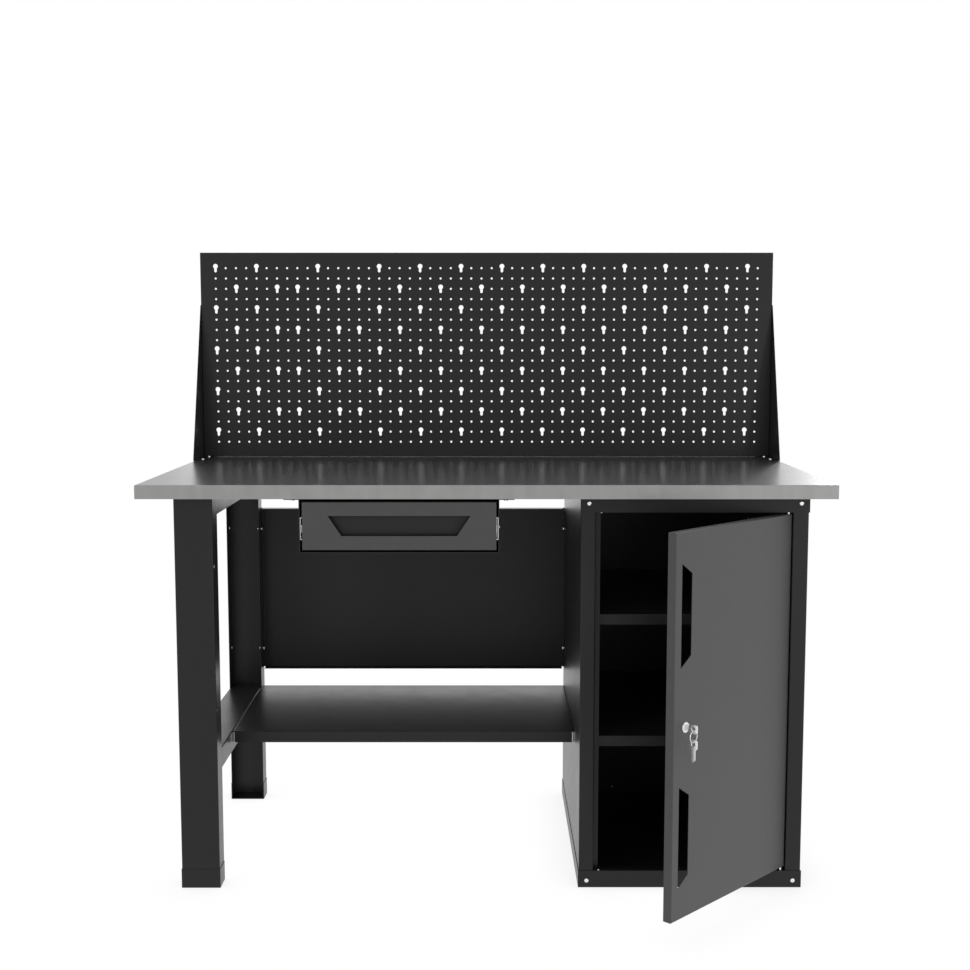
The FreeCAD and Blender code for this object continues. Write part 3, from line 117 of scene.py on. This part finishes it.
# Strength and height of the orange peel and of the board's chips, and what the steel mirrors at a low angle
PEEL_STRENGTH = 0.1
PEEL_HEIGHT = 0.0002
CHIP_STRENGTH = 0.3
CHIP_HEIGHT = 0.0005
STEEL_LOW_ANGLE_SHARE = 0.88

# Fasteners: head radius, head height, shank radius and the drive cut into the head
FASTENER_KINDS = {
    "screws": (0.0046, 0.0026, 0.0022, "cross"),
    "bolts": (0.0056, 0.0034, 0.0028, "socket"),
    "rivets": (0.0032, 0.0015, 0.0016, "dimple"),
}
HEAD_ROUND_SHARE = 0.6
DRIVE_DEPTH_SHARE = 0.5
CROSS_LENGTH_SHARE = 1.1
CROSS_WIDTH_SHARE = 0.26
SOCKET_SHARE = 0.5
DIMPLE_SHARE = 0.36
NUT_RADIUS = 0.00577
NUT_HEIGHT = 0.005
NUT_ROUND_SHARE = 0.1
NUT_GRIPS = {"panel_bolts": 0.0027, "shelf_bolts": 0.003}
HEAD_SIDES = 40
SHANK_SIDES = 24
DIMPLE_SIDES = 16
HEXAGON_SIDES = 6
RIM_SEGMENTS = 5
SMOOTH_ANGLE = 35
FASTENER_REACH = 0.03
END_SLACK = 0.0002
LENGTH_DIGITS = 4


# Nodes of materials and room

def add_node(tree, kind, **settings):
    node = tree.nodes.new(kind)
    for key, value in settings.items():
        setattr(node, key, value)
    return node


def between(tree, source, limits, values, interpolation="LINEAR"):
    """Value that runs between two values while the source runs between two limits."""
    node = add_node(tree, "ShaderNodeMapRange", interpolation_type=interpolation)
    node.inputs["From Min"].default_value = limits[0]
    node.inputs["From Max"].default_value = limits[1]
    node.inputs["To Min"].default_value = values[0]
    node.inputs["To Max"].default_value = values[1]
    tree.links.new(source, node.inputs["Value"])
    return node.outputs["Result"]


def combine(tree, operation, first, second):
    node = add_node(tree, "ShaderNodeMath", operation=operation)
    tree.links.new(first, node.inputs[0])
    tree.links.new(second, node.inputs[1])
    return node.outputs["Value"]


def background_mix(tree, other, background):
    """The background for seen, mirrored and transmitted rays, and another shader for the rest."""
    path = add_node(tree, "ShaderNodeLightPath")
    seen = path.outputs["Is Camera Ray"]
    for kind in ("Is Glossy Ray", "Is Transmission Ray"):
        seen = combine(tree, "MAXIMUM", seen, path.outputs[kind])
    mix = add_node(tree, "ShaderNodeMixShader")
    tree.links.new(seen, mix.inputs["Fac"])
    tree.links.new(other, mix.inputs[1])
    tree.links.new(background, mix.inputs[2])
    return mix.outputs["Shader"]


# Finishes

def new_material(name):
    material = bpy.data.materials.new(name)
    material.use_nodes = True
    tree = material.node_tree
    shader = tree.nodes["Principled BSDF"]
    return material, tree, shader


def object_pattern(tree, kind, cells, **inputs):
    """Texture on the piece's own coordinates."""
    coordinates = add_node(tree, "ShaderNodeTexCoord")
    mapping = add_node(tree, "ShaderNodeMapping")
    mapping.inputs["Scale"].default_value = cells
    texture = add_node(tree, kind)
    for key, value in inputs.items():
        texture.inputs[key].default_value = value
    tree.links.new(coordinates.outputs["Object"], mapping.inputs["Vector"])
    tree.links.new(mapping.outputs["Vector"], texture.inputs["Vector"])
    return texture


def noise(tree, pattern):
    cells, detail = pattern
    return object_pattern(tree, "ShaderNodeTexNoise", cells, Detail=detail).outputs["Fac"]


def colour_between(tree, shader, source, low, high):
    """Base colour between two colours, following a pattern."""
    node = add_node(tree, "ShaderNodeValToRGB")
    for element, position, color in zip(node.color_ramp.elements, PATTERN_LIMITS, (low, high)):
        element.position = position
        element.color = (*color, 1.0)
    tree.links.new(source, node.inputs["Fac"])
    tree.links.new(node.outputs["Color"], shader.inputs["Base Color"])


def tinted(tree, shader, source, color, shares):
    low, high = (tuple(channel * share for channel in color) for share in shares)
    colour_between(tree, shader, source, low, high)


def roughened(tree, shader, source, roughness, steps):
    values = [roughness + step for step in steps]
    tree.links.new(between(tree, source, PATTERN_LIMITS, values), shader.inputs["Roughness"])


def relief(tree, shader, source, strength, height):
    bump = add_node(tree, "ShaderNodeBump")
    bump.inputs["Strength"].default_value = strength
    bump.inputs["Distance"].default_value = height
    tree.links.new(source, bump.inputs["Height"])
    tree.links.new(bump.outputs["Normal"], shader.inputs["Normal"])


def mirror_share(shader, share):
    shader.inputs["Specular Tint"].default_value = (share, share, share, 1.0)


def powder_coat(name, color, roughness, head_on_share):
    """Baked powder paint: even colour, fine orange peel, faint broad variation, little shine head-on."""
    material, tree, shader = new_material(name)
    cloud = noise(tree, COAT_CLOUD)
    tinted(tree, shader, cloud, color, COAT_TINTS)
    roughened(tree, shader, cloud, roughness, COAT_ROUGHNESS_STEPS)
    mirror_share(shader, head_on_share)
    relief(tree, shader, noise(tree, COAT_PEEL), PEEL_STRENGTH, PEEL_HEIGHT)
    return material


def rolled_steel(name, color, roughness):
    """Zinc-coated sheet: faint rolling streaks along the bench and broad soft clouds."""
    material, tree, shader = new_material(name)
    tinted(tree, shader, noise(tree, STEEL_CLOUD), color, STEEL_TINTS)
    roughened(tree, shader, noise(tree, STEEL_STREAK), roughness, STEEL_ROUGHNESS_STEPS)
    shader.inputs["Metallic"].default_value = 1.0
    mirror_share(shader, STEEL_LOW_ANGLE_SHARE)
    return material


def zinc_plate(name, color, roughness):
    """Bright zinc plate of the fasteners, slides, lock and keys."""
    material, tree, shader = new_material(name)
    grain = noise(tree, ZINC_GRAIN)
    tinted(tree, shader, grain, color, ZINC_TINTS)
    roughened(tree, shader, grain, roughness, ZINC_ROUGHNESS_STEPS)
    shader.inputs["Metallic"].default_value = 1.0
    return material


def pressed_board(name, dark, light, roughness):
    """Raw pressed board: chips lying along the sheet."""
    material, tree, shader = new_material(name)
    chips = object_pattern(tree, "ShaderNodeTexVoronoi", BOARD_CHIP_CELLS, Randomness=1.0)
    colour_between(tree, shader, noise(tree, BOARD_FIBRE), dark, light)
    relief(tree, shader, chips.outputs["Distance"], CHIP_STRENGTH, CHIP_HEIGHT)
    shader.inputs["Roughness"].default_value = roughness
    return material


FINISHES = {
    "black_coat": powder_coat("black_coat", (0.0200, 0.0200, 0.0205), 0.34, 0.48),
    "grey_coat": powder_coat("grey_coat", (0.0890, 0.0890, 0.0899), 0.36, 0.6),
    "top_steel": rolled_steel("top_steel", (0.290, 0.290, 0.287), 0.292),
    "zinc_steel": zinc_plate("zinc_steel", (0.85, 0.85, 0.84), 0.24),
    "board_wood": pressed_board("board_wood", (0.26, 0.16, 0.085), (0.42, 0.29, 0.17), 0.8),
}


def finish_cad_nodes():
    for part in record["subparts"]:
        mesh = nodes[part["node"]].data
        mesh.materials.clear()
        mesh.materials.append(FINISHES[part["material_slot"]])


# Fasteners with a drive cut into their heads

def deselect_all():
    bpy.ops.object.select_all(action="DESELECT")


def select_only(piece):
    deselect_all()
    piece.select_set(True)
    bpy.context.view_layer.objects.active = piece


def joined(first, *others):
    select_only(first)
    for piece in others:
        piece.select_set(True)
    bpy.ops.object.join()
    return first


def apply_place():
    bpy.ops.object.transform_apply(location=True, rotation=True, scale=True)


def add_cylinder(radius, low, high, sides):
    deselect_all()
    middle = (0, 0, (low + high) / 2)
    bpy.ops.mesh.primitive_cylinder_add(vertices=sides, radius=radius, depth=high - low, location=middle)
    apply_place()
    return bpy.context.active_object


def round_rim(piece, height, width):
    """Bevels the rim of the face that lies at a given height."""
    mesh = piece.data
    select_only(piece)
    bpy.ops.object.mode_set(mode="EDIT")
    bpy.ops.mesh.select_mode(type="FACE")
    bpy.ops.mesh.select_all(action="DESELECT")
    bpy.ops.object.mode_set(mode="OBJECT")
    for face in mesh.polygons:
        face.select = abs(face.center.z - height) < END_SLACK
    bpy.ops.object.mode_set(mode="EDIT")
    bpy.ops.mesh.region_to_loop()
    bpy.ops.mesh.bevel(offset=width, segments=RIM_SEGMENTS, affect="EDGES")
    bpy.ops.object.mode_set(mode="OBJECT")


def add_bar(length, width, depth):
    """Bar across the crown, half of its height in the head."""
    deselect_all()
    bpy.ops.mesh.primitive_cube_add(size=1)
    bar = bpy.context.active_object
    bar.scale = (length, width, 2 * depth)
    apply_place()
    return bar


def drive_cutters(drive, radius, depth):
    if drive == "cross":
        length = radius * CROSS_LENGTH_SHARE
        width = radius * CROSS_WIDTH_SHARE
        return [add_bar(length, width, depth), add_bar(width, length, depth)]
    if drive == "socket":
        return [add_cylinder(radius * SOCKET_SHARE, -depth, depth, HEXAGON_SIDES)]
    return [add_cylinder(radius * DIMPLE_SHARE, -depth, depth, DIMPLE_SIDES)]


def cut_away(piece, cutter):
    select_only(piece)
    modifier = piece.modifiers.new("drive", "BOOLEAN")
    modifier.operation = "DIFFERENCE"
    modifier.solver = "EXACT"
    modifier.object = cutter
    bpy.ops.object.modifier_apply(modifier=modifier.name)
    bpy.data.objects.remove(cutter, do_unlink=True)


def add_nut(top):
    """Hexagon nut hanging down from a height, with its lower rim rounded."""
    bottom = top - NUT_HEIGHT
    nut = add_cylinder(NUT_RADIUS, bottom, top, HEXAGON_SIDES)
    round_rim(nut, bottom, NUT_HEIGHT * NUT_ROUND_SHARE)
    return nut


def fastener_pattern(kind, length, grip):
    """One fastener with its crown at the origin and its shank pointing down."""
    radius, height, shank, drive = FASTENER_KINDS[kind]
    head = add_cylinder(radius, -height, 0, HEAD_SIDES)
    round_rim(head, 0, height * HEAD_ROUND_SHARE)
    for cutter in drive_cutters(drive, radius, height * DRIVE_DEPTH_SHARE):
        cut_away(head, cutter)
    pieces = [add_cylinder(shank, -length, -height, SHANK_SIDES)]
    if grip:
        pieces.append(add_nut(-height - grip))
    pattern = joined(head, *pieces)
    bpy.ops.object.shade_smooth_by_angle(angle=math.radians(SMOOTH_ANGLE))
    return pattern


def fastener_groups(node):
    """Points of each fastener in a node that holds several."""
    groups = []
    for vertex in nodes[node].data.vertices:
        near = [group for group in groups if (group[0] - vertex.co).length < FASTENER_REACH]
        if near:
            near[0].append(vertex.co.copy())
        else:
            groups.append([vertex.co.copy()])
    return groups


def fastener_place(points):
    """Crown, way out and whole length of one fastener, read from its points."""
    low = Vector([min(place[axis] for place in points) for axis in range(3)])
    high = Vector([max(place[axis] for place in points) for axis in range(3)])
    middle = (low + high) / 2
    size = high - low
    axis = min(range(3), key=lambda index: abs(size[(index + 1) % 3] - size[(index + 2) % 3]))

    def width_at(end):
        rim = [place for place in points if abs(place[axis] - end) < END_SLACK]
        return max(abs((place - middle)[(axis + 1) % 3]) for place in rim)

    sign = 1 if width_at(high[axis]) > width_at(low[axis]) else -1
    out = Vector([sign if index == axis else 0 for index in range(3)])
    return middle + out * size[axis] / 2, out, size[axis]


def body_of_node(node):
    bodies = record["behaviour"]["bodies"]
    return next(body for body, members in bodies.items() if node in members)


def copy_to(pattern, crown, out):
    """Copy of a fastener with its own mesh, its crown at a place and its head pointing out."""
    select_only(pattern)
    bpy.ops.object.duplicate()
    copy = bpy.context.active_object
    copy.rotation_euler = Vector((0, 0, 1)).rotation_difference(out).to_euler()
    copy.location = crown
    apply_place()
    return copy


def dress_fasteners(node, kind):
    """Replaces a node of plain fasteners by ones with a drive in each head."""
    patterns = {}
    copies = []
    for points in fastener_groups(node):
        crown, out, length = fastener_place(points)
        key = round(length, LENGTH_DIGITS)
        if key not in patterns:
            patterns[key] = fastener_pattern(kind, key, NUT_GRIPS.get(node))
        copies.append(copy_to(patterns[key], crown, out))
    for pattern in patterns.values():
        bpy.data.objects.remove(pattern, do_unlink=True)
    piece = joined(*copies)
    bpy.ops.object.origin_set(type="ORIGIN_CURSOR")
    piece.name = node + "_dressed"
    piece.data.materials.clear()
    piece.data.materials.append(FINISHES["zinc_steel"])
    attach(piece, body_of_node(node))
    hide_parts(node)


def dress_all_fasteners():
    for part in record["subparts"]:
        kind = part["node"].split("_")[-1]
        if kind in FASTENER_KINDS:
            dress_fasteners(part["node"], kind)


# Stage

def finish_stage_floor():
    """White floor for seen and mirrored rays, its glow dimmed near the feet into a painted shadow; the
    room's other light comes through it from below.
    """
    deselect_all()
    bpy.ops.mesh.primitive_plane_add(size=FLOOR_SIDE, location=(0, 0, FLOOR_HEIGHT))
    floor = bpy.context.active_object
    floor.name = "floor"
    material, tree, shader = new_material("white_floor")
    tree.nodes.remove(shader)
    # Painted shadow: ambient occlusion dims the floor's white glow where the feet come near
    openness = add_node(tree, "ShaderNodeAmbientOcclusion", samples=SHADOW_SAMPLES)
    openness.inputs["Distance"].default_value = SHADOW_REACH
    painted_shadow = between(tree, openness.outputs["AO"], (0.0, 1.0), (PAINTED_SHADOW_LEVEL, 1.0), "SMOOTHSTEP")
    glow = add_node(tree, "ShaderNodeEmission")
    tree.links.new(painted_shadow, glow.inputs["Strength"])
    clear = add_node(tree, "ShaderNodeBsdfTransparent")
    surface = background_mix(tree, clear.outputs["BSDF"], glow.outputs["Emission"])
    tree.links.new(surface, tree.nodes["Material Output"].inputs["Surface"])
    floor.data.materials.append(material)


def room_level(tree):
    """Brightness of the room in each direction."""
    direction = add_node(tree, "ShaderNodeTexCoord").outputs["Generated"]
    split = add_node(tree, "ShaderNodeSeparateXYZ")
    tree.links.new(direction, split.inputs["Vector"])
    dim = between(tree, split.outputs["Z"], HEIGHT_LIMITS, HEIGHT_LEVELS, "SMOOTHSTEP")
    toward = add_node(tree, "ShaderNodeVectorMath", operation="DOT_PRODUCT")
    toward.inputs[1].default_value = BRIGHT_WAY
    tree.links.new(direction, toward.inputs[0])
    bright = between(tree, toward.outputs["Value"], BRIGHT_LIMITS, (0.0, BRIGHT_GAIN), "SMOOTHSTEP")
    return combine(tree, "ADD", dim, bright)


def light_world():
    """Room with its own light, in which seen, mirrored and transmitted rays meet plain white."""
    world = bpy.data.worlds.new("white_room")
    bpy.context.scene.world = world
    world.use_nodes = True
    tree = world.node_tree
    lit = tree.nodes["Background"]
    lit.inputs["Color"].default_value = WHITE
    tree.links.new(room_level(tree), lit.inputs["Strength"])
    plain = add_node(tree, "ShaderNodeBackground")
    plain.inputs["Color"].default_value = WHITE
    surface = background_mix(tree, lit.outputs["Background"], plain.outputs["Background"])
    tree.links.new(surface, tree.nodes["World Output"].inputs["Surface"])


def add_soft_boxes():
    """Soft boxes in front of the bench and behind it, turned to its middle."""
    middle = (Vector(cad_box[0]) + Vector(cad_box[1])) / 2
    for name, (place, size, power) in SOFT_BOXES.items():
        deselect_all()
        turn = (middle - Vector(place)).to_track_quat("-Z", "Y").to_euler()
        bpy.ops.object.light_add(type="AREA", location=place, rotation=turn)
        box = bpy.context.active_object
        box.name = name
        box.visible_camera = False
        box.data.shape = "RECTANGLE"
        box.data.size, box.data.size_y = size
        box.data.energy = power


def place_camera():
    worktop_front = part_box("worktop_sheet")[0].y
    place = (0, worktop_front - CAMERA_FROM_WORKTOP, CAMERA_HEIGHT)
    deselect_all()
    bpy.ops.object.camera_add(location=place, rotation=(math.radians(90 - CAMERA_PITCH), 0, 0))
    camera = bpy.context.active_object
    camera.data.lens = LENS
    camera.data.sensor_width = SENSOR
    camera.data.shift_x = -AXIS_RIGHT_PIXELS / IMAGE_SIDE
    bpy.context.scene.camera = camera


finish_cad_nodes()
dress_all_fasteners()
finish_stage_floor()
light_world()
add_soft_boxes()
place_camera()
bpy.context.scene.view_settings.view_transform = "Standard"
